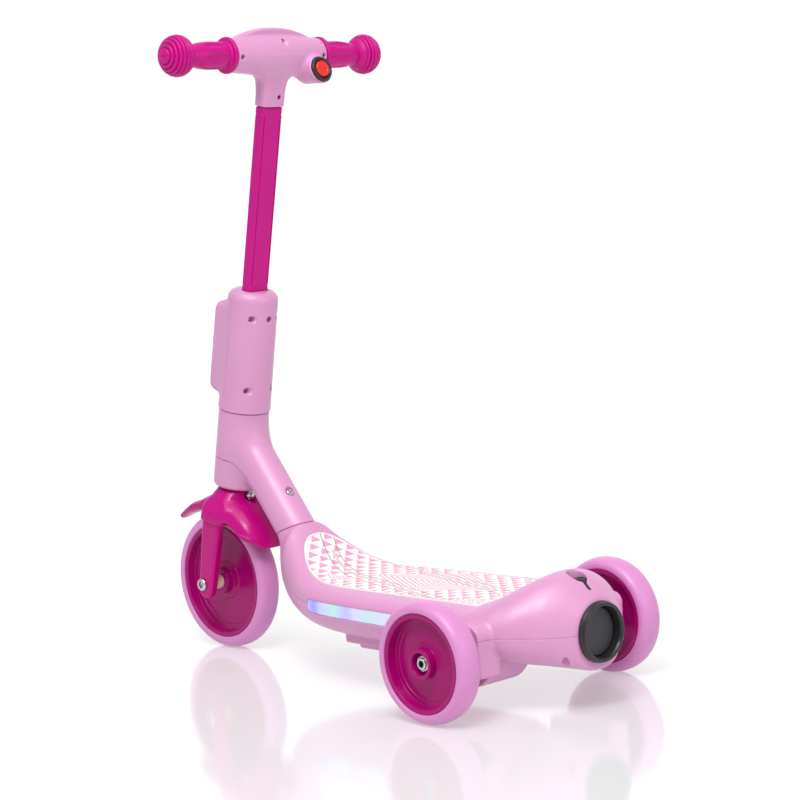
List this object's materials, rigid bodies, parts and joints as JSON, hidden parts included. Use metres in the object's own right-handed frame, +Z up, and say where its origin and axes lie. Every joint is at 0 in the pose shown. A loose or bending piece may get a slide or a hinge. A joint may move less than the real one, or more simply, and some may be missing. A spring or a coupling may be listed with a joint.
{
  "type": "toddler kick scooter",
  "caption": "Child's three-wheeled scooter with a raked steering column, T handlebar with ball-ended grips, moulded deck with printed mat, side light strips and a round port in the tail.",
  "frame": {"origin": "on the ground under the middle of the scooter's bounding box, on its mid-plane", "axes": "+X towards the front wheel, the way the scooter rides; +Y to the rider's left; +Z up"},
  "size_m": [0.6815, 0.317, 0.7281],
  "materials": {
    "pink_plastic": "satin pale pink moulded plastic",
    "magenta_plastic": "glossy deep magenta moulded plastic",
    "grip_rubber": "soft satin magenta rubber",
    "tyre": "smooth lilac-pink solid tyre",
    "mat": "matt white sheet printed with pale pink triangles",
    "lens": "milky clear lens lit from behind",
    "circuit_board": "green circuit board",
    "dark_plastic": "dark grey plastic",
    "red_plastic": "glossy red plastic",
    "battery": "grey wrapped battery pack",
    "natural_nylon": "cream nylon",
    "steel": "bright plated steel"
  },
  "bodies": {
    "frame": {"axle_nut_left": "steel", "axle_nut_right": "steel", "axle_spacer_left": "natural_nylon", "axle_spacer_right": "natural_nylon", "battery_door": "pink_plastic", "battery_door_screw": "steel", "battery_pack": "battery", "bubble_unit": "dark_plastic", "control_board": "circuit_board", "deck_lower_shell": "pink_plastic", "deck_mat": "mat", "deck_upper_shell": "pink_plastic", "drive_motor": "steel", "gearbox_housing": "pink_plastic", "head_bush_lower": "natural_nylon", "head_bush_upper": "natural_nylon", "led_board_left": "circuit_board", "led_board_right": "circuit_board", "light_strip_left": "lens", "light_strip_right": "lens", "neck_bolt": "steel", "neck_lower_cover": "pink_plastic", "neck_upper_cover": "pink_plastic", "port_disc": "dark_plastic", "port_ring": "dark_plastic", "rear_axle": "steel", "steel_frame": "steel", "tail_screw": "steel"},
    "steering": {"button_bezel": "dark_plastic", "button_switch": "dark_plastic", "column": "magenta_plastic", "column_cover_front": "pink_plastic", "column_cover_rear": "pink_plastic", "cover_screw_1": "steel", "cover_screw_2": "steel", "crown_bolt": "steel", "crown_nut": "steel", "fork": "magenta_plastic", "front_axle_bolt": "steel", "front_axle_nut": "steel", "front_spacer_left": "natural_nylon", "front_spacer_right": "natural_nylon", "grip_left": "grip_rubber", "grip_right": "grip_rubber", "handlebar_housing_front": "pink_plastic", "handlebar_housing_rear": "pink_plastic", "handlebar_tube": "steel", "housing_screw_1": "steel", "housing_screw_2": "steel", "mudguard": "magenta_plastic", "steerer": "steel"},
    "front_wheel": {"front_hub": "magenta_plastic", "front_tyre": "tyre"},
    "rear_left_wheel": {"rear_left_hub": "magenta_plastic", "rear_left_tyre": "tyre"},
    "rear_right_wheel": {"rear_right_hub": "magenta_plastic", "rear_right_tyre": "tyre"},
    "button": {"push_button": "red_plastic"}
  },
  "joints": [
    {"name": "steering_turn", "type": "hinge", "parent": "frame", "child": "steering", "pos_m": [0.27145, 0, 0], "axis": [-0.2139, 0, 0.9769], "range_deg": [-40, 40]},
    {"name": "front_wheel_spin", "type": "hinge", "parent": "steering", "child": "front_wheel", "pos_m": [0.2571, 0, 0.0814], "axis": [0, 1, 0], "continuous": true},
    {"name": "rear_left_wheel_spin", "type": "hinge", "parent": "frame", "child": "rear_left_wheel", "pos_m": [-0.2259, 0.1395, 0.0635], "axis": [0, 1, 0], "continuous": true},
    {"name": "rear_right_wheel_spin", "type": "hinge", "parent": "frame", "child": "rear_right_wheel", "pos_m": [-0.2259, -0.1395, 0.0635], "axis": [0, 1, 0], "continuous": true},
    {"name": "button_press", "type": "slide", "parent": "steering", "child": "button", "axis": [0.9701, 0, -0.2428], "range_m": [0, 0.003], "stiffness_N_per_m": 400}
  ]
}
